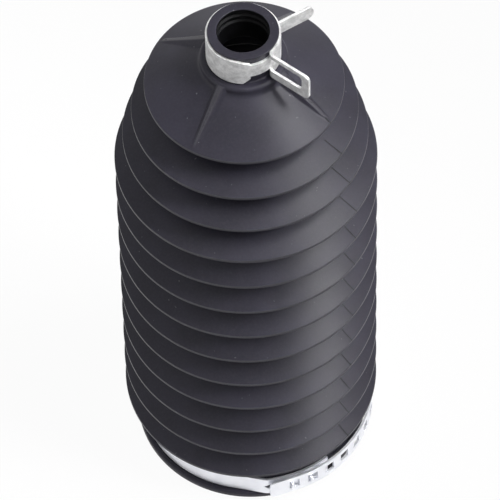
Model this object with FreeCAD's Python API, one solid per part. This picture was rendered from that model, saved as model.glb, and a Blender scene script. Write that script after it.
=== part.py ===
import FreeCAD, Part
import math
import os

from FreeCAD import Vector

# Frame: millimetres, +Z up along the boot's axis, the large end's lip stands on z = 0
# Azimuths are degrees from +X towards +Y, and the front of the boot faces -Y

# Moulded rubber boot, from its small end down
bore_radius = 7.3
neck_wall = 2.3
neck_height = 10.8
lip_chamfer = 0.6
seal_groove_depth = 0.7
seal_groove_width = 1.6
seal_groove_slope = 0.4
seal_groove_pitch = 2.4
seal_groove_count = 2
first_groove_drop = 1.3
shoulder_stand = 2.7
shoulder_height = 2.6
shoulder_chamfer = 0.9
cone_rise = 9.4
cone_wall = 1.5

# Folds: each crest is a narrow land, each valley a sharp V
upper_crest_radii = [28.0, 32.0, 34.9]
upper_pitch = 11.4
body_crest_radius = 37.6
body_crest_growth = 0.14
body_fold_count = 10
body_pitch = 12.75
crest_land = 1.0
valley_depth = 8.6
fold_wall = 2.4

# Large end: a flat seat for the band, above a lip that stands proud of it
large_bore_radius = 30.5
seat_wall = 2.8
seat_top = 12.0
large_bore_top = 11.4
base_lip_stand = 2.3
base_lip_height = 2.6
base_lip_chamfer = 0.7
base_lead_in = 0.8
last_crest_height = 18.35

# Gussets between the shoulder and the cone, one of them on the mould's parting line
gusset_count = 4
parting_azimuth = -32.0
gusset_tip_radius = 27.0
gusset_crest_width = 1.2
gusset_root_width = 5.2
gusset_root_drop = 0.3
gusset_tip_rise = 0.15
gusset_sink = 0.7

# Small spring clamp: a strip with a narrow tongue that passes through a slot in its wide end
neck_strip_thickness = 0.8
neck_strip_width = 9.6
neck_clamp_clearance = 0.05
neck_clamp_lift = 0.4
tongue_width = 4.8
tongue_slot_clearance = 0.3
tongue_rise = 0.7
slotted_ear_azimuth = -39.0
tongue_bend_azimuth = 18.0
tongue_ear_turn = 77.0
ear_bend_radius = 1.4
slotted_ear_length = 14.4
tongue_ear_length = 10.8
slotted_ear_end = 2.4
slot_end_azimuth = 39.0
taper_end_azimuth = -80.0
upper_taper_sweep = 20.0
lower_taper_sweep = 12.0
slotted_ear_round = 1.8
tongue_tip_flat = 0.5
slot_round = 1.2

# Large band clamp: a windowed strip that overlaps itself at the front, slack on its seat
band_thickness = 0.7
band_width = 7.6
band_clearance = 0.05
band_lift = 0.4
band_slack = 2.0
head_end_turn = 32.0
head_lift = 2.05
joggle_radius = 4.0
seat_contact_start = -103.0
seat_contact_turn = 92.0
tail_turn = 236.0
tail_run = 9.0
tail_round = 2.0
window_count = 8
window_length = 3.3
window_height = 3.8
window_step = 9.5
first_window_azimuth = -70.0
window_clearance = 0.15
hook_count = 2
hook_height = 2.8
hook_thickness = 0.7
hook_offset = 0.8
hook_stand = 2.5
arrow_azimuth = -81.7
arrow_length = 2.0
arrow_height = 2.8

# Radii and heights that follow from the sizes above
neck_radius = bore_radius + neck_wall
shoulder_radius = neck_radius + shoulder_stand
seat_radius = large_bore_radius + seat_wall
base_lip_radius = seat_radius + base_lip_stand
body_top_crest = last_crest_height + body_pitch * (body_fold_count - 1)
top_crest_height = body_top_crest + upper_pitch * len(upper_crest_radii)
cone_top = top_crest_height + crest_land / 2 + cone_rise
shoulder_top = cone_top + shoulder_height
neck_top = shoulder_top + neck_height
neck_clamp_bottom = shoulder_top + neck_clamp_lift
neck_clamp_middle = neck_clamp_bottom + neck_strip_width / 2
band_bottom = base_lip_height + band_lift
band_middle = band_bottom + band_width / 2

OVERSIZE = 1.0


def at_azimuth(radius, azimuth, height=0.0):
    """The point at this radius, azimuth in degrees and height."""
    angle = math.radians(azimuth)
    return Vector(radius * math.cos(angle), radius * math.sin(angle), height)


def corner_arc(before, corner, after, radius):
    """The tangent arc that rounds a corner of a profile, with its two ends."""
    to_before = (before - corner).normalize()
    to_after = (after - corner).normalize()
    half_angle = to_before.getAngle(to_after) / 2
    start = corner + to_before * (radius / math.tan(half_angle))
    end = corner + to_after * (radius / math.tan(half_angle))
    centre = corner + (to_before + to_after).normalize() * (radius / math.sin(half_angle))
    middle = centre + (corner - centre).normalize() * radius
    return start, end, Part.Arc(start, middle, end).toShape()


def profile_face(corners):
    """A closed face in the XZ plane from (radius, height) corners."""
    points = [Vector(radius, 0, height) for radius, height in corners]
    return Part.Face(Part.makePolygon(points + points[:1]))


def fold_crests():
    """The (radius, height) of every crest, from the small end down."""
    crests = []
    for index, radius in enumerate(upper_crest_radii):
        crests.append((radius, top_crest_height - upper_pitch * index))
    for index in range(body_fold_count):
        radius = body_crest_radius + body_crest_growth * index
        crests.append((radius, body_top_crest - body_pitch * index))
    return crests


def seal_groove_corners():
    """The bore's wall from the small end down, with its grooves."""
    corners = [(bore_radius, neck_top)]
    for index in range(seal_groove_count):
        top = neck_top - first_groove_drop - seal_groove_pitch * index
        floor = bore_radius + seal_groove_depth
        corners.append((bore_radius, top))
        corners.append((floor, top - seal_groove_slope))
        corners.append((floor, top - seal_groove_width + seal_groove_slope))
        corners.append((bore_radius, top - seal_groove_width))
    return corners


def cone_slope():
    """How far the cone falls for each millimetre of radius."""
    return cone_rise / (upper_crest_radii[0] - shoulder_radius)


def make_bellows_boot():
    crests = fold_crests()
    land_tip = crest_land / 2 * valley_depth / (body_pitch / 2 - crest_land / 2)
    outside = [
        (neck_radius - lip_chamfer, neck_top),
        (neck_radius, neck_top - lip_chamfer),
        (neck_radius, shoulder_top),
        (shoulder_radius - shoulder_chamfer, shoulder_top),
        (shoulder_radius, shoulder_top - shoulder_chamfer),
        (shoulder_radius, cone_top),
    ]
    inside = []
    for index, (radius, height) in enumerate(crests):
        outside.append((radius, height + crest_land / 2))
        outside.append((radius, height - crest_land / 2))
        inside.append((radius + land_tip - fold_wall, height))
        if index + 1 < len(crests):
            valley_height = (height + crests[index + 1][1]) / 2
            outside.append((radius - valley_depth, valley_height))
            inside.append((radius - valley_depth - fold_wall, valley_height))
    outside += [
        (seat_radius, seat_top),
        (seat_radius, base_lip_height),
        (base_lip_radius - base_lip_chamfer, base_lip_height),
        (base_lip_radius, base_lip_height - base_lip_chamfer),
        (base_lip_radius, base_lip_chamfer),
        (base_lip_radius - base_lip_chamfer, 0),
        (large_bore_radius + base_lead_in, 0),
        (large_bore_radius, base_lead_in),
        (large_bore_radius, large_bore_top),
    ]
    inner_drop = cone_wall * math.hypot(1, cone_slope())
    bore_bottom = cone_top + cone_slope() * (shoulder_radius - bore_radius) - inner_drop
    inside.reverse()
    inside.append((bore_radius, bore_bottom))
    bore = seal_groove_corners()
    bore.reverse()
    face = profile_face(outside + inside + bore)
    boot = face.revolve(Vector(0, 0, 0), Vector(0, 0, 1), 360)
    gussets = [
        make_gusset(parting_azimuth + 360 / gusset_count * index)
        for index in range(gusset_count)
    ]
    return boot.fuse(gussets).removeSplitter()


def make_gusset(azimuth):
    """A fin that is broad and tall at the shoulder and runs out down the cone."""
    root_radius = (shoulder_radius + neck_radius) / 2
    sections = []
    for radius, width in ((root_radius, gusset_root_width), (gusset_tip_radius, gusset_crest_width)):
        surface = cone_top - cone_slope() * (radius - shoulder_radius)
        at_root = radius == root_radius
        crest = shoulder_top - gusset_root_drop if at_root else surface + gusset_tip_rise
        foot = surface - gusset_sink
        half_crest = gusset_crest_width / 2
        half_foot = width / 2
        corners = [
            Vector(radius, -half_foot, foot),
            Vector(radius, half_foot, foot),
            Vector(radius, half_crest, crest),
            Vector(radius, -half_crest, crest),
        ]
        sections.append(Part.makePolygon(corners + corners[:1]))
    gusset = Part.makeLoft(sections, True, True)
    gusset.rotate(Vector(0, 0, 0), Vector(0, 0, 1), azimuth)
    return gusset


def strip_face(start, heading, steps, thickness):
    """A strip seen on edge: steps are (radius, turn) arcs or (length, 0) straight runs."""
    sides = {-1: [], 1: []}
    ends = []
    point, angle = start, heading
    for size, turn in steps:
        forward = at_azimuth(1, angle)
        left = at_azimuth(1, angle + 90)
        if turn:
            bend = math.copysign(1, turn)
            centre = point + left * (bend * size)
            for side in sides:
                reach = size - side * bend * thickness / 2
                away = [
                    centre - at_azimuth(reach * bend, angle + 90 + turn * share)
                    for share in (0, 0.5, 1)
                ]
                sides[side].append(Part.Arc(*away).toShape())
                ends.append((side, away[0], away[2]))
            point = centre - at_azimuth(size * bend, angle + 90 + turn)
            angle += turn
        else:
            for side in sides:
                near = point + left * (side * thickness / 2)
                far = near + forward * size
                sides[side].append(Part.makeLine(near, far))
                ends.append((side, near, far))
            point = point + forward * size
    first = [near for side, near, far in ends[:2]]
    last = [far for side, near, far in ends[-2:]]
    caps = [Part.makeLine(first[0], first[1]), Part.makeLine(last[0], last[1])]
    edges = sides[1] + sides[-1] + caps
    return Part.Face(Part.Wire(Part.sortEdges(edges)[0]))


def raised(face, bottom, height):
    """The face lifted to this height and extruded upwards."""
    solid = face.extrude(Vector(0, 0, height))
    solid.translate(Vector(0, 0, bottom))
    return solid


def rounded_box(length, height, corner):
    """A bar through the origin along Y, with rounded corners seen along Y."""
    corners = [
        Vector(-length / 2, -OVERSIZE * 5, -height / 2),
        Vector(length / 2, -OVERSIZE * 5, -height / 2),
        Vector(length / 2, -OVERSIZE * 5, height / 2),
        Vector(-length / 2, -OVERSIZE * 5, height / 2),
    ]
    edges = []
    arcs = [
        corner_arc(corners[index - 1], corners[index], corners[(index + 1) % 4], corner)
        for index in range(4)
    ]
    for index, (start, end, arc) in enumerate(arcs):
        edges.append(arc)
        edges.append(Part.makeLine(end, arcs[(index + 1) % 4][0]))
    return Part.Face(Part.Wire(edges)).extrude(Vector(0, OVERSIZE * 10, 0))


def round_strip_end(solid, end, radius):
    """Round the upper and lower corners of a strip at the end nearest this point."""
    upright = [
        edge for edge in solid.Edges
        if len(edge.Vertexes) == 2
        and abs(edge.Vertexes[0].Z - edge.Vertexes[1].Z) < 1e-6
        and math.hypot(edge.CenterOfMass.x - end.x, edge.CenterOfMass.y - end.y) < 1e-3
    ]
    return solid.makeFillet(radius, upright)


def make_neck_spring_clamp():
    inner = neck_radius + neck_clamp_clearance
    middle = inner + neck_strip_thickness / 2
    run_start = middle + ear_bend_radius
    slotted_ear_reach = neck_radius + slotted_ear_length
    tongue_middle = neck_clamp_middle + tongue_rise

    # Wide end: its ear comes in along the azimuth, bends and runs round the back to the taper
    ear_side = at_azimuth(ear_bend_radius, slotted_ear_azimuth - 90)
    wide_end = at_azimuth(slotted_ear_reach, slotted_ear_azimuth) + ear_side
    wide_turn = taper_end_azimuth + 360 - slotted_ear_azimuth
    wide_face = strip_face(
        wide_end,
        slotted_ear_azimuth + 180,
        [(slotted_ear_reach - run_start, 0), (ear_bend_radius, -90), (middle, wide_turn)],
        neck_strip_thickness,
    )
    wide = raised(wide_face, neck_clamp_bottom, neck_strip_width)
    wide = round_strip_end(wide, wide_end, slotted_ear_round)

    # Tongue: on round the front, through the slot and out into its own ear
    tongue_turn = tongue_bend_azimuth - taper_end_azimuth
    tongue_start = at_azimuth(middle, taper_end_azimuth)
    tongue_face = strip_face(
        tongue_start,
        taper_end_azimuth + 90,
        [(middle, tongue_turn), (ear_bend_radius, -tongue_ear_turn), (tongue_ear_length, 0)],
        neck_strip_thickness,
    )
    tongue_bottom = tongue_middle - tongue_width / 2
    tongue = raised(tongue_face, tongue_bottom, tongue_width)
    ear_heading = tongue_bend_azimuth + 90 - tongue_ear_turn
    tongue_tip = at_azimuth(run_start, tongue_bend_azimuth)
    tongue_tip += at_azimuth(ear_bend_radius, ear_heading + 90)
    tongue_tip += at_azimuth(tongue_ear_length, ear_heading)
    tongue = round_strip_end(tongue, tongue_tip, (tongue_width - tongue_tip_flat) / 2)

    # Slot: open along the wide end's ear, its bend and the band beyond the tongue's ear
    slot_height = tongue_width + 2 * tongue_slot_clearance
    slot_outer = slotted_ear_reach - slotted_ear_end
    ear_slot = rounded_box(slot_outer - inner + slot_round, slot_height, slot_round)
    ear_slot.translate(Vector((slot_outer + inner - slot_round) / 2, 0, tongue_middle))
    ear_slot = ear_slot.common(
        Part.makeBox(
            slot_outer,
            2 * (ear_bend_radius + neck_strip_thickness),
            slot_height,
            Vector(
                inner - slot_round,
                -2 * (ear_bend_radius + neck_strip_thickness),
                tongue_middle - slot_height / 2,
            ),
        )
    )
    ear_slot.rotate(Vector(0, 0, 0), Vector(0, 0, 1), slotted_ear_azimuth)
    slot_turn = slot_end_azimuth - slotted_ear_azimuth
    outer_cylinder = Part.makeCylinder(
        inner + neck_strip_thickness + OVERSIZE,
        slot_height,
        Vector(0, 0, tongue_middle - slot_height / 2),
        Vector(0, 0, 1),
        slot_turn,
    )
    outer_cylinder.rotate(Vector(0, 0, 0), Vector(0, 0, 1), slotted_ear_azimuth)
    wide = wide.cut([ear_slot, outer_cylinder])

    # Taper: the wide strip's corners are cut away down to the tongue's width
    for side, sweep in ((1, upper_taper_sweep), (-1, lower_taper_sweep)):
        half_run = middle * math.sin(math.radians(sweep) / 2)
        edge = neck_clamp_middle + side * neck_strip_width / 2
        tongue_edge = tongue_middle + side * tongue_width / 2
        corners = [
            Vector(0, -half_run, edge),
            Vector(0, half_run + OVERSIZE, tongue_edge),
            Vector(0, half_run + OVERSIZE, edge + side * OVERSIZE),
            Vector(0, -half_run, edge + side * OVERSIZE),
        ]
        wedge = Part.Face(Part.makePolygon(corners + corners[:1]))
        cutter = wedge.extrude(Vector(middle + 2 * OVERSIZE, 0, 0))
        cutter.rotate(Vector(0, 0, 0), Vector(0, 0, 1), taper_end_azimuth - sweep / 2)
        wide = wide.cut(cutter)
    return wide.fuse(tongue).removeSplitter()


def make_base_band_clamp():
    middle = seat_radius + band_clearance + band_thickness / 2
    head_radius = middle + head_lift
    window_inner_reach = head_radius + band_thickness / 2 + window_clearance
    window_depth = 2 * band_slack + band_thickness + OVERSIZE
    # The head end leaves the seat on a straight run, and bends back onto a larger circle
    inside_bend = middle - joggle_radius
    joggle_run = math.sqrt((head_radius - joggle_radius) ** 2 - inside_bend**2)
    joggle_angle = math.degrees(math.atan2(joggle_run, inside_bend))
    head_azimuth = seat_contact_start + joggle_angle + head_end_turn
    face = strip_face(
        at_azimuth(head_radius, head_azimuth),
        head_azimuth - 90,
        [
            (head_radius, -head_end_turn),
            (joggle_radius, -joggle_angle),
            (joggle_run, 0),
            (middle, -seat_contact_turn),
            (middle + band_slack, -tail_turn),
            (tail_run, 0),
        ],
        band_thickness,
    )
    band = raised(face, band_bottom, band_width)
    tail_heading = seat_contact_start - 90 - seat_contact_turn - tail_turn
    slack_side = seat_contact_start - seat_contact_turn + 180
    tail_end = at_azimuth(band_slack, slack_side)
    tail_end += at_azimuth(middle + band_slack, tail_heading + 90)
    tail_end += at_azimuth(tail_run, tail_heading)
    band = round_strip_end(band, Vector(tail_end.x, tail_end.y, 0), tail_round)

    # Windows go through the outer layer only, and the hooks stand up into the first of them
    cutters = []
    for index in range(window_count):
        window = Part.makeBox(
            window_depth,
            window_length,
            window_height,
            Vector(window_inner_reach, -window_length / 2, band_middle - window_height / 2),
        )
        azimuth = first_window_azimuth + window_step * index
        window.rotate(Vector(0, 0, 0), Vector(0, 0, 1), azimuth)
        cutters.append(window)
    arrow = Part.makePolygon(
        [
            Vector(0, 0, band_middle - arrow_height / 2),
            Vector(0, 0, band_middle + arrow_height / 2),
            Vector(0, -arrow_length, band_middle),
            Vector(0, 0, band_middle - arrow_height / 2),
        ]
    )
    arrow_cutter = Part.Face(arrow).extrude(Vector(head_radius + 2 * OVERSIZE, 0, 0))
    arrow_cutter.rotate(Vector(0, 0, 0), Vector(0, 0, 1), arrow_azimuth)
    cutters.append(arrow_cutter)
    band = band.cut(cutters)
    hooks = []
    for index in range(hook_count):
        hook = Part.makeBox(
            hook_stand,
            hook_thickness,
            hook_height,
            Vector(head_radius, -hook_thickness / 2 - hook_offset, band_middle - hook_height / 2),
        )
        azimuth = first_window_azimuth + window_step * index
        hook.rotate(Vector(0, 0, 0), Vector(0, 0, 1), azimuth)
        hooks.append(hook)
    return band.fuse(hooks).removeSplitter()


parts = {
    "bellows_boot": make_bellows_boot(),
    "neck_spring_clamp": make_neck_spring_clamp(),
    "base_band_clamp": make_base_band_clamp(),
}
os.makedirs("parts", exist_ok=True)
for name, shape in parts.items():
    shape.exportStep(f"parts/{name}.step")
    box = shape.BoundBox
    print(name, len(shape.Solids), "solid", shape.isValid(), round(shape.Volume, 1), "mm3")
    print("  ", [round(value, 2) for value in (box.XMin, box.XMax, box.YMin, box.YMax, box.ZMin, box.ZMax)])
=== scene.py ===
import math

import bmesh
import bpy
import numpy as np
from mathutils import Matrix, Vector


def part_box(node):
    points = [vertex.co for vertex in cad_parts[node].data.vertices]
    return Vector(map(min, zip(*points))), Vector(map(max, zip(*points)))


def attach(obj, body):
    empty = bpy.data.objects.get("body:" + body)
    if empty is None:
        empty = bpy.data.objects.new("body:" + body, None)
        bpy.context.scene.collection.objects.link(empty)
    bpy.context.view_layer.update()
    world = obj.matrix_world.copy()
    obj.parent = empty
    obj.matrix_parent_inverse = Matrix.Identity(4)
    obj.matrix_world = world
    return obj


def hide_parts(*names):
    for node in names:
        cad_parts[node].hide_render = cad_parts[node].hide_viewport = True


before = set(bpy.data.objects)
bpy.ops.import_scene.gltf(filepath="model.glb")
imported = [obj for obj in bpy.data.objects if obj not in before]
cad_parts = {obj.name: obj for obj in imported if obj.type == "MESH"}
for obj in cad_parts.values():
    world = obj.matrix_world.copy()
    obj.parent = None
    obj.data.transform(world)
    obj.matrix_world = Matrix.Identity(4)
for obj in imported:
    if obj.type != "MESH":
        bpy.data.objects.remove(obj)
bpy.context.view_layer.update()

# Bellows boot: one moulding of black rubber, with a neck for a tie rod, four gussets, thirteen
# folds and an open large end whose seat stands on a lip. Its surface is satin, with the fine
# line that the two halves of its mould leave down each side.
bore_radius = 0.0073
mouth_rounding = 0.0003
groove_drops = np.array([0.0013, 0.0037])
groove_width = 0.0016
groove_depth = 0.0007
groove_side = 0.0004
groove_rounding = 0.00015
neck_radius = 0.0096
neck_height = 0.0108
neck_foot_rounding = 0.0005
# The clamp squeezes the neck's end into a small bead above itself
bead_reach = 0.0003
bead_height = 0.0007
bead_rounding = 0.00018
bead_under_rounding = 0.00012
bead_root_rounding = 0.00008
shoulder_radius = 0.0123
shoulder_height = 0.0026
shoulder_rounding = 0.0011
shoulder_foot_rounding = 0.0016
cone_rise = 0.0094
cone_wall = 0.0015
cone_rows = 18
cone_mouth_rounding = 0.0006
upper_crest_radii = np.array([0.0280, 0.0320, 0.0349])
first_body_crest_radius = 0.0376
body_crest_growth = 0.00014
body_folds = 10
upper_pitch = 0.0114
body_pitch = 0.01275
last_crest_height = 0.01835
crest_half_land = 0.0005
land_rounding = 0.00025
valley_depth = 0.0086
valley_rounding = 0.0008
fold_wall = 0.0024
inner_rounding = 0.0005
seat_radius = 0.0333
seat_top = 0.0120
seat_rounding = 0.0005
seat_foot_rounding = 0.0003
lip_radius = 0.0356
lip_height = 0.0026
lip_rounding = 0.0008
large_bore_radius = 0.0305
large_bore_top = 0.0114
large_bore_rounding = 0.0006
outer_arc_step = math.radians(20)
inner_arc_step = math.radians(38)

boot_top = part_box("bellows_boot")[1][2]
shoulder_top = boot_top - neck_height
cone_top = shoulder_top - shoulder_height
cone_foot = cone_top - cone_rise
cone_slope = cone_rise / (upper_crest_radii[0] - shoulder_radius)
body_crest_radii = first_body_crest_radius + body_crest_growth * np.arange(body_folds)
crest_radii = np.concatenate([upper_crest_radii, body_crest_radii])
crest_pitches = np.array([upper_pitch] * len(upper_crest_radii) + [body_pitch] * (body_folds - 1))
crest_heights = last_crest_height + np.concatenate([np.cumsum(crest_pitches[::-1])[::-1], [0]])


def corner_rows(radii, heights, rounding):
    """Corners of a section as rows of radius, height and rounding."""
    return np.column_stack(np.broadcast_arrays(radii, heights, rounding))


def fold_corners():
    """The folds' corners outside and inside, from the top down. Outside, a crest is a flat land
    and a valley lies halfway to the next. Inside, a crest is the point where its two flanks would
    meet, and all is a wall's thickness nearer the axis."""
    middles = (crest_heights[1:] + crest_heights[:-1]) / 2
    half_gaps = np.append(crest_pitches, body_pitch) / 2 - crest_half_land
    overruns = crest_half_land * valley_depth / half_gaps
    valley_radii = crest_radii[:-1] - valley_depth
    outer = np.empty((len(crest_radii) * 3 - 1, 3))
    outer[0::3] = corner_rows(crest_radii, crest_heights + crest_half_land, land_rounding)
    outer[1::3] = corner_rows(crest_radii, crest_heights - crest_half_land, land_rounding)
    outer[2::3] = corner_rows(valley_radii, middles, valley_rounding)
    inner = np.empty((len(crest_radii) * 2 - 1, 3))
    inner[0::2] = corner_rows(crest_radii + overruns - fold_wall, crest_heights, inner_rounding)
    inner[1::2] = corner_rows(valley_radii - fold_wall, middles, inner_rounding)
    return outer, inner


def groove_corners():
    """The corners of the sealing grooves in the neck's bore, from the top down: each groove is a
    trough with a flat floor and sloping sides."""
    tops = boot_top - groove_drops
    trough_radius = bore_radius + groove_depth
    corners = [
        corner_rows(bore_radius, tops, groove_rounding),
        corner_rows(trough_radius, tops - groove_side, groove_rounding),
        corner_rows(trough_radius, tops - groove_width + groove_side, groove_rounding),
        corner_rows(bore_radius, tops - groove_width, groove_rounding),
    ]
    return np.stack(corners, axis=1).reshape(-1, 3)


def boot_corners():
    """The boot's closed section as two runs of corners: from the bore's mouth down the outside
    and round the lip, and then back up the inside."""
    outer_folds, inner_folds = fold_corners()
    inner_top = cone_top + cone_slope * (shoulder_radius - bore_radius)
    inner_top -= cone_wall * math.hypot(1, cone_slope)
    outside = np.vstack(
        [
            [bore_radius, boot_top, mouth_rounding],
            [neck_radius + bead_reach, boot_top, bead_rounding],
            [neck_radius + bead_reach, boot_top - bead_height, bead_under_rounding],
            [neck_radius, boot_top - bead_height, bead_root_rounding],
            [neck_radius, shoulder_top, neck_foot_rounding],
            [shoulder_radius, shoulder_top, shoulder_rounding],
            [shoulder_radius, cone_top, shoulder_foot_rounding],
            outer_folds,
            [seat_radius, seat_top, seat_rounding],
            [seat_radius, lip_height, seat_foot_rounding],
            [lip_radius, lip_height, lip_rounding],
            [lip_radius, 0, lip_rounding],
            [large_bore_radius, 0, lip_rounding],
        ]
    )
    inside = np.vstack(
        [
            [large_bore_radius, large_bore_top, large_bore_rounding],
            inner_folds[::-1],
            [bore_radius, inner_top, cone_mouth_rounding],
            groove_corners()[::-1],
        ]
    )
    return outside, inside


def rounded_corner(before, corner, after, rounding, step):
    """A corner of a profile as the arc that is tangent to both its sides: the arc's centre lies
    on the corner's bisector, rounding / sin(half angle) away, and the arc sweeps the turn."""
    to_before = (before - corner) / np.linalg.norm(before - corner)
    to_after = (after - corner) / np.linalg.norm(after - corner)
    half = math.acos(np.clip(to_before @ to_after, -1, 1)) / 2
    bisector = (to_before + to_after) / np.linalg.norm(to_before + to_after)
    centre = corner + bisector * rounding / math.sin(half)
    start = corner + to_before * rounding / math.tan(half) - centre
    turn = math.pi - 2 * half
    sense = np.sign(to_after[0] * to_before[1] - to_after[1] * to_before[0])
    angles = np.linspace(0, turn * sense, 2 + int(turn / step))
    across = np.array([-start[1], start[0]])
    return centre + np.outer(np.cos(angles), start) + np.outer(np.sin(angles), across)


def boot_profile():
    """The section with every corner rounded, and with more points down the cone for its gussets."""
    outside, inside = boot_corners()
    corners = np.vstack([outside, inside])
    points = corners[:, :2]
    before = np.roll(points, 1, axis=0)
    after = np.roll(points, -1, axis=0)
    steps = np.repeat([outer_arc_step, inner_arc_step], [len(outside), len(inside)])
    arcs = [rounded_corner(*row) for row in zip(before, points, after, corners[:, 2], steps)]
    first_crest = int(np.argmax(points[:, 0] == crest_radii[0]))
    down_the_cone = np.linspace(arcs[first_crest - 1][-1], arcs[first_crest][0], cone_rows)[1:-1]
    arcs.insert(first_crest, down_the_cone)
    return np.vstack(arcs)


gusset_azimuths = np.radians([-122, -32, 58, 148])
gusset_tip_radius = 0.0264
gusset_root_drop = 0.0003
gusset_tip_height = 0.00015
gusset_crest_root = 0.0007
gusset_crest_tip = 0.0003
gusset_root_half_width = 0.0020
gusset_tip_half_width = 0.0008
columns_per_gusset = 57
column_crowding = 0.8
shoulder_margin = 0.0002
first_crest_margin = 0.0006


def gusset_distance(radius, azimuth):
    """How far round the cone a point lies from the middle of its nearest gusset."""
    turns = (azimuth[..., None] - gusset_azimuths + math.pi) % (2 * math.pi) - math.pi
    return radius * np.abs(turns).min(-1)


def gusset_run(radius):
    """The share of a gusset's run at this radius, from 0 at the shoulder to 1 at its tip, and
    half the width of its crest there."""
    share = np.clip((radius - shoulder_radius) / (gusset_tip_radius - shoulder_radius), 0, 1)
    return share, gusset_crest_root + (gusset_crest_tip - gusset_crest_root) * share


def gusset_rise(radius, azimuth):
    """How far the gussets stand above the cone: a height that falls evenly from just under the
    shoulder's top to a low tip, times a rounded step from the foot's edge to the crest's."""
    share, crest = gusset_run(radius)
    height = (shoulder_height - gusset_root_drop) * (1 - share) + gusset_tip_height * (share < 1)
    foot = gusset_root_half_width + (gusset_tip_half_width - gusset_root_half_width) * share
    inward = np.clip((foot - gusset_distance(radius, azimuth)) / (foot - crest), 0, 1)
    return height * inward * (2 - inward)


def column_azimuths():
    """Azimuths round the boot, crowded at the gussets: even shares of the turn from one gusset
    to the next, less a sine of them."""
    even = np.linspace(0, 1, columns_per_gusset + 1)[:-1]
    crowded = even - column_crowding * np.sin(2 * math.pi * even) / (2 * math.pi)
    quarters = np.arange(len(gusset_azimuths))[:, None] + crowded
    return (gusset_azimuths[0] + quarters * math.pi / 2).ravel()


def lathe_grid(profile, azimuths):
    """Points on a surface of revolution: radius and height from the profile, one column for
    each azimuth. Where the cone carries a gusset, the height is raised by its rise."""
    radii, heights = profile.T
    radius, azimuth = np.meshgrid(radii, azimuths, indexing="ij")
    height = np.repeat(profile[:, 1:], len(azimuths), axis=1)
    surface = cone_top - cone_slope * (radius - shoulder_radius)
    lifted = np.maximum(height, surface + gusset_rise(radius, azimuth))
    first_crest = np.argmax(radii > upper_crest_radii[0] - first_crest_margin)
    rows = (heights > cone_foot) & (radii > shoulder_radius - shoulder_margin)
    rows &= np.arange(len(profile)) < first_crest
    height[rows] = lifted[rows]
    return np.stack([radius * np.cos(azimuth), radius * np.sin(azimuth), height], axis=-1)


def closed_grid_object(name, grid):
    """An object whose faces join each grid point to its neighbours, closed both ways round."""
    rows, columns = grid.shape[:2]
    index = np.arange(rows * columns).reshape(rows, columns)
    right = np.roll(index, -1, axis=1)
    down = np.roll(index, -1, axis=0)
    corner = np.roll(down, -1, axis=1)
    quads = np.stack([index, down, corner, right], axis=-1).reshape(-1, 4)
    mesh = bpy.data.meshes.new(name)
    mesh.from_pydata(grid.reshape(-1, 3).tolist(), [], quads.tolist())
    mesh.polygons.foreach_set("use_smooth", np.ones(len(quads), bool))
    mesh.update()
    piece = bpy.data.objects.new(name, mesh)
    bpy.context.scene.collection.objects.link(piece)
    return piece


def shade_evenly(piece):
    """Let each point take its shading mostly from its larger faces, so that flanks look flat."""
    shading = piece.modifiers.new("even_shading", "WEIGHTED_NORMAL")
    shading.weight = 80


class Shade:
    """A value in a material's nodes: arithmetic on it adds Math nodes, and node adds any other."""

    def __init__(self, tree, socket):
        self.tree = tree
        self.socket = socket

    def node(self, kind, output=0, inputs=None, **settings):
        """A new node with these settings and these values or links at its sockets."""
        added = self.tree.nodes.new(kind)
        for setting, value in settings.items():
            setattr(added, setting, value)
        for key, value in (inputs or {}).items():
            if isinstance(value, Shade):
                self.tree.links.new(value.socket, added.inputs[key])
            else:
                added.inputs[key].default_value = value
        return Shade(self.tree, added.outputs[output])

    def math(self, operation, *others):
        return self.node("ShaderNodeMath", inputs=dict(enumerate([self, *others])), operation=operation)

    def reversed_math(self, operation, other):
        return self.node("ShaderNodeMath", inputs={0: other, 1: self}, operation=operation)

    def __add__(self, other):
        return self.math("ADD", other)

    def __sub__(self, other):
        return self.math("SUBTRACT", other)

    def __mul__(self, other):
        return self.math("MULTIPLY", other)

    def __truediv__(self, other):
        return self.math("DIVIDE", other)

    def __rsub__(self, other):
        return self.reversed_math("SUBTRACT", other)

    def __rtruediv__(self, other):
        return self.reversed_math("DIVIDE", other)

    __radd__ = __add__
    __rmul__ = __mul__

    def step(self, low, high):
        """0 below low, 1 above high, and a smooth ramp between."""
        return self.node(
            "ShaderNodeMapRange",
            inputs={"Value": self, "From Min": low, "From Max": high},
            interpolation_type="SMOOTHSTEP",
        )

    def noise(self, scale, detail=2.0, roughness=0.5):
        """Smooth noise over this place, with about scale waves to a metre."""
        return self.node(
            "ShaderNodeTexNoise",
            inputs={"Vector": self, "Scale": scale, "Detail": detail, "Roughness": roughness},
        )

    def streaks(self, scale, detail, roughness=0.5):
        """Noise with a scale of its own along each axis."""
        stretched = self.node("ShaderNodeMapping", inputs={"Vector": self, "Scale": scale})
        return stretched.noise(1.0, detail, roughness)

    def mix(self, low, high):
        """The colour low where this value is 0 and high where it is 1."""
        return self.node(
            "ShaderNodeMix",
            output=2,
            inputs={0: self, 6: low, 7: high},
            data_type="RGBA",
        )

    def bump(self, strength):
        """The surface's normal when this value is its height in metres."""
        return self.node(
            "ShaderNodeBump",
            inputs={"Strength": strength, "Distance": 1.0, "Height": self},
        )

    def split(self):
        """The x, y and z of this place."""
        parts = self.node("ShaderNodeSeparateXYZ", inputs={"Vector": self}).socket.node
        return [Shade(self.tree, output) for output in parts.outputs]


def new_material(name):
    """A material with its Principled shader and the place of each point on the object."""
    material = bpy.data.materials.new(name)
    material.use_nodes = True
    tree = material.node_tree
    place = Shade(tree, tree.nodes.new("ShaderNodeTexCoord").outputs["Object"])
    return material, tree.nodes["Principled BSDF"], place


def connect(shader, key, value):
    """Lead a value to one socket of a shader."""
    value.tree.links.new(value.socket, shader.inputs[key])


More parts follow.
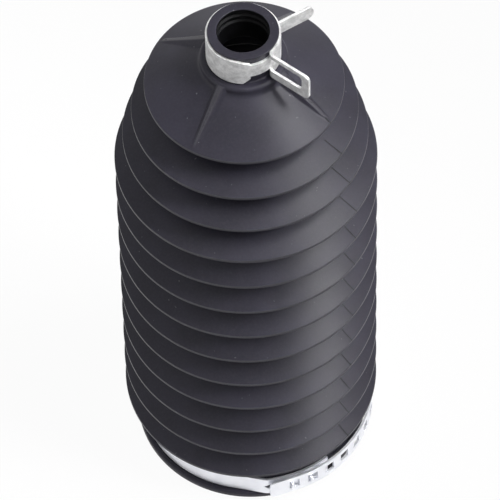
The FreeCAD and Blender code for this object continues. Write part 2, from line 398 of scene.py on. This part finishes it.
# The outside is blotched satin with a fine grain and pale specks of dust, and a painted highlight (a
# lighter, glossier tone) runs along the crests' edges and the gussets' crests
rubber_dark = (0.0172, 0.0160, 0.0250, 1)
rubber_pale = (0.0260, 0.0243, 0.0375, 1)
grain_grey = (0.055, 0.052, 0.062, 1)
speck_grey = (0.14, 0.14, 0.15, 1)
highlight_grey = (0.085, 0.083, 0.092, 1)
parting_black = (0.002, 0.002, 0.003, 1)
grain_share = 0.16
speck_share = 0.6
highlight_share = 0.4
parting_share = 0.95
grain_height = 0.000018
blotch_height = 0.0001
speck_height = 0.00003
parting_depth = 0.00014
rubber, rubber_shader, place = new_material("satin_rubber")
blotches = place.noise(70, detail=4.0, roughness=0.6)
grain = place.noise(1500, detail=4.0, roughness=0.75)
specks = place.noise(900, detail=1.0).step(0.77, 0.81)
painted_highlight = place.node("ShaderNodeAttribute", output="Fac", attribute_name="painted_crest_highlight")

# The parting line lies in a plane through the boot's axis, which turns a little on its way
# down, and it shows beyond the gussets' tips
parting_azimuth = math.radians(-31.5)
parting_turn = math.radians(-10.5)
parting_half_width = 0.00010
parting_edge = 0.00024
parting_start_radius = 0.0262
parting_full_radius = 0.0266
x, y, z = place.split()
plane_azimuth = parting_azimuth + (1 - z / boot_top) * parting_turn
off_plane = (x * plane_azimuth.math("SINE") - y * plane_azimuth.math("COSINE")).math("ABSOLUTE")
beyond_cone = (x * x + y * y).math("SQRT").step(parting_start_radius, parting_full_radius)
parting_line = (1 - off_plane.step(parting_half_width, parting_edge)) * beyond_cone

tone = blotches.step(0.3, 0.72).mix(rubber_dark, rubber_pale)
tone = (grain.step(0.42, 0.66) * grain_share).mix(tone, grain_grey)
tone = (specks * speck_share).mix(tone, speck_grey)
# Painted highlight: the crests' edges and the gussets' crests are mixed towards a light grey
tone = (painted_highlight * highlight_share).mix(tone, highlight_grey)
tone = (parting_line * parting_share).mix(tone, parting_black)
relief = grain * grain_height + blotches * blotch_height - parting_line * parting_depth
relief = relief + specks * speck_height
connect(rubber_shader, "Base Color", tone)
connect(rubber_shader, "Roughness", 0.34 + blotches * 0.1 + grain * 0.06 - painted_highlight * 0.14)
connect(rubber_shader, "Normal", relief.bump(0.7))
rubber_shader.inputs["Specular IOR Level"].default_value = 0.22

# Painted shade: the bore's colour is far darker than the outside's, to stand for the shade inside the
# neck, and it is duller, with weaker reflections and a tone that varies at random
bore_shade_dark = (0.003, 0.003, 0.0035, 1)
bore_shade_pale = (0.006, 0.006, 0.007, 1)
shaded_bore_rubber, bore_shader, place = new_material("painted_shade_bore_rubber")
bore_mottle = place.noise(600, detail=3.0, roughness=0.6)
connect(bore_shader, "Base Color", bore_mottle.step(0.35, 0.65).mix(bore_shade_dark, bore_shade_pale))
connect(bore_shader, "Roughness", 0.40 + bore_mottle * 0.2)
bore_shader.inputs["Specular IOR Level"].default_value = 0.09

profile = boot_profile()
radii, heights = profile.T
azimuths = column_azimuths()
boot = closed_grid_object("rubber_boot", lathe_grid(profile, azimuths))
shade_evenly(boot)
boot.data.materials.append(rubber)
boot.data.materials.append(shaded_bore_rubber)

# The bore's faces, which take the painted-shade material, reach from just inside the neck's rim down to
# the hollow under the cone
bore_margin = 0.0001
rim_width = 0.0002
in_the_bore = (radii < bore_radius + groove_depth + bore_margin) & (heights < boot_top - rim_width)
material_index = np.repeat(in_the_bore, len(azimuths)).astype(np.int32)
boot.data.polygons.foreach_set("material_index", material_index)

# Painted highlight: the upper edge of each crest's land and the crests of the gussets get a lighter
# colour and less roughness, as where light catches them
edge_highlight_reach = 0.00035
edge_highlight_end = 1.2
edge_highlight_rise = 0.00005
first_edge_margin = 0.001
gusset_highlight_end = 1.5
nearest = np.abs(heights - crest_heights[:, None]).argmin(0)
above_edge = heights - crest_heights[nearest] - crest_half_land
from_edge = np.hypot(radii - crest_radii[nearest], above_edge)
edge_highlight = np.clip(edge_highlight_end - from_edge / edge_highlight_reach, 0, 1)
edge_highlight *= above_edge < edge_highlight_rise
edge_highlight *= (heights > seat_top) & (heights < cone_foot + first_edge_margin)
on_cone = (radii > shoulder_radius) & (radii < gusset_tip_radius) & (heights > cone_foot)
from_gusset = gusset_distance(radii[:, None], azimuths)
gusset_crest = gusset_run(radii[:, None])[1]
gusset_highlight = np.clip(gusset_highlight_end - from_gusset / gusset_crest, 0, 1)
painted_crest_highlight = np.maximum(edge_highlight[:, None], gusset_highlight * on_cone[:, None])
highlight_layer = boot.data.attributes.new("painted_crest_highlight", "FLOAT", "POINT")
highlight_layer.data.foreach_set("value", painted_crest_highlight.ravel())
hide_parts("bellows_boot")
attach(boot, "root")

# Small spring clamp: a strip of zinc-plated spring steel, blanked and bent round the neck, with a
# tongue that comes out through a slot in the wide end. Its edges are tumbled round and bright.
spring_edge_round = 0.00016
merge_distance = 2e-6
flat_angle = math.radians(0.5)
sharp_angle = math.radians(40)


def softened_copy(name, node, edge_round):
    """A copy of a CAD node's solid with its triangles merged and its sharp edges rounded off."""
    shape = bmesh.new()
    shape.from_mesh(bpy.data.objects[node].data)
    bmesh.ops.remove_doubles(shape, verts=shape.verts, dist=merge_distance)
    bmesh.ops.dissolve_limit(shape, angle_limit=flat_angle, verts=shape.verts, edges=shape.edges)
    mesh = bpy.data.meshes.new(name)
    shape.to_mesh(mesh)
    shape.free()
    mesh.polygons.foreach_set("use_smooth", np.ones(len(mesh.polygons), bool))
    piece = bpy.data.objects.new(name, mesh)
    bpy.context.scene.collection.objects.link(piece)
    rounding = piece.modifiers.new("edge_round", "BEVEL")
    rounding.width = edge_round
    rounding.segments = 2
    rounding.limit_method = "ANGLE"
    rounding.angle_limit = sharp_angle
    shade_evenly(piece)
    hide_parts(node)
    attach(piece, "root")
    return piece


zinc_dark = (0.56, 0.56, 0.56, 1)
zinc_bright = (0.85, 0.85, 0.85, 1)
cloud_height = 0.00004
pit_depth = 0.00002
scuff_height = 0.00001
spring_zinc, spring_shader, place = new_material("zinc_spring_steel")
clouds = place.noise(420, detail=5.0, roughness=0.65)
pits = place.noise(1800, detail=2.0)
scuffs = place.streaks((300.0, 300.0, 2600.0), detail=3.0)
relief = clouds * cloud_height + pits * pit_depth + scuffs * scuff_height
connect(spring_shader, "Base Color", clouds.step(0.32, 0.68).mix(zinc_dark, zinc_bright))
connect(spring_shader, "Roughness", 0.40 + clouds * 0.16 + scuffs * 0.08)
connect(spring_shader, "Normal", relief.bump(0.6))
spring_shader.inputs["Metallic"].default_value = 0.55

spring_clamp = softened_copy("small_spring_clamp", "neck_spring_clamp", spring_edge_round)
spring_clamp.data.materials.append(spring_zinc)

# Large band clamp: a long strip of bright steel with punched windows, laid round its seat over
# itself. Hooks on the inner layer stand in the first windows, and its free end springs away.
band_edge_round = 0.00012
band_grey = (0.84, 0.85, 0.90, 1)
band_bright = (0.92, 0.93, 0.97, 1)
rolling_height = 0.000012
haze_height = 0.00002
band_steel, band_shader, place = new_material("bright_band_steel")
rolling = place.streaks((120.0, 120.0, 5200.0), detail=4.0, roughness=0.6)
haze = place.noise(160, detail=3.0)
relief = rolling * rolling_height + haze * haze_height
connect(band_shader, "Base Color", haze.step(0.3, 0.7).mix(band_grey, band_bright))
connect(band_shader, "Roughness", 0.32 + haze * 0.1 + rolling * 0.12)
connect(band_shader, "Normal", relief.bump(0.5))
band_shader.inputs["Metallic"].default_value = 0.85

band_clamp = softened_copy("windowed_band_clamp", "base_band_clamp", band_edge_round)
band_clamp.data.materials.append(band_steel)

# Studio: a pale floor and room that show white to the camera, the floor with the boot's soft
# shadow. Two narrow lights and a broad one shine from the right, one from overhead and one low
# from the left.
floor_reach = 1.5
floor_drop = 0.0002
floor_white = (0.86, 0.86, 0.86, 1)
floor_glow_share = 0.95
room_strength = 0.30


def straight_view(tree):
    """1 for a ray that comes straight from the camera or by way of gloss or glass, and else 0."""
    rays = tree.nodes.new("ShaderNodeLightPath").outputs
    seen = Shade(tree, rays["Is Camera Ray"])
    seen = seen.math("MAXIMUM", Shade(tree, rays["Is Glossy Ray"]))
    return seen.math("MAXIMUM", Shade(tree, rays["Is Transmission Ray"]))


floor_corners = [(-1, -1), (1, -1), (1, 1), (-1, 1)]
floor_mesh = bpy.data.meshes.new("studio_floor")
floor_mesh.from_pydata(
    [(across * floor_reach, along * floor_reach, -floor_drop) for across, along in floor_corners],
    [],
    [(0, 1, 2, 3)],
)
floor = bpy.data.objects.new("studio_floor", floor_mesh)
bpy.context.scene.collection.objects.link(floor)
floor_paint, floor_shader, place = new_material("studio_floor_white")
floor_shader.inputs["Base Color"].default_value = floor_white
floor_shader.inputs["Roughness"].default_value = 0.8
floor_surface = Shade(place.tree, floor_shader.outputs[0])
glow = place.node("ShaderNodeEmission", inputs={"Color": (1, 1, 1, 1), "Strength": 1.0})
glow_share = straight_view(place.tree) * floor_glow_share
blend = place.node("ShaderNodeMixShader", inputs={0: glow_share, 1: floor_surface, 2: glow})
connect(floor_paint.node_tree.nodes["Material Output"], "Surface", blend)
floor_mesh.materials.append(floor_paint)

world = bpy.data.worlds.new("studio_room")
world.use_nodes = True
bpy.context.scene.world = world
room_light = world.node_tree.nodes["Background"]
room_light.inputs["Color"].default_value = (1, 1, 1, 1)
room_view = straight_view(world.node_tree) * (1 - room_strength)
connect(room_light, "Strength", room_strength + room_view)


def softbox(name, bearing, distance, size, spread, power, target):
    """A square area light at this azimuth and elevation from its target, turned to face it."""
    azimuth, elevation = map(math.radians, bearing)
    level = math.cos(elevation)
    direction = Vector((math.cos(azimuth) * level, math.sin(azimuth) * level, math.sin(elevation)))
    lamp = bpy.data.lights.new(name, "AREA")
    lamp.size = size
    lamp.spread = math.radians(spread)
    lamp.energy = power
    light = bpy.data.objects.new(name, lamp)
    light.location = Vector(target) + direction * distance
    light.rotation_euler = direction.to_track_quat("Z", "Y").to_euler()
    bpy.context.scene.collection.objects.link(light)


boot_middle = (0, 0, boot_top / 2)
upper_middle = (0, 0, 0.12)
front_flank = (0.01, -0.02, 0.135)
front_shoulder = (0.01, -0.02, 0.15)
softbox("right_softbox", (-22, 46), distance=0.6, size=0.26, spread=20, power=0.145, target=front_flank)
softbox("upper_softbox", (-4, 62), distance=0.6, size=0.26, spread=22, power=0.12, target=front_shoulder)
softbox("overhead_softbox", (-120, 75), distance=0.9, size=0.7, spread=180, power=0.8, target=boot_middle)
softbox("key_softbox", (12, 44), distance=0.75, size=0.25, spread=180, power=0.72, target=upper_middle)
softbox("low_left_softbox", (-150, 8), distance=0.9, size=0.5, spread=180, power=1.0, target=boot_middle)

# Camera: a long lens that looks down on the boot's front at the photograph's angle. It is
# rolled a little, and aimed beside the boot's middle as the photograph is.
view_pitch = math.radians(55.77)
view_roll = math.radians(-1.3)
view_distance = 1.14
aim_right = 0.0007
aim_up = -0.00615
aim_height = 0.09485
sensor_width = 36
focal_length = 279.1
nearest_seen = 0.05
forward = Vector((0, math.cos(view_pitch), -math.sin(view_pitch)))
level_right = Vector((1, 0, 0))
level_up = Vector((0, math.sin(view_pitch), math.cos(view_pitch)))
right = math.cos(view_roll) * level_right + math.sin(view_roll) * level_up
up = -math.sin(view_roll) * level_right + math.cos(view_roll) * level_up
lens = bpy.data.cameras.new("studio_camera")
lens.sensor_width = sensor_width
lens.lens = focal_length
lens.clip_start = nearest_seen
camera = bpy.data.objects.new("studio_camera", lens)
place_at = Vector((0, 0, aim_height)) + aim_right * right + aim_up * up - view_distance * forward
facing = Matrix((right, up, -forward)).transposed().to_4x4()
camera.matrix_world = Matrix.Translation(place_at) @ facing
bpy.context.scene.collection.objects.link(camera)
bpy.context.scene.camera = camera
bpy.context.scene.view_settings.view_transform = "Standard"
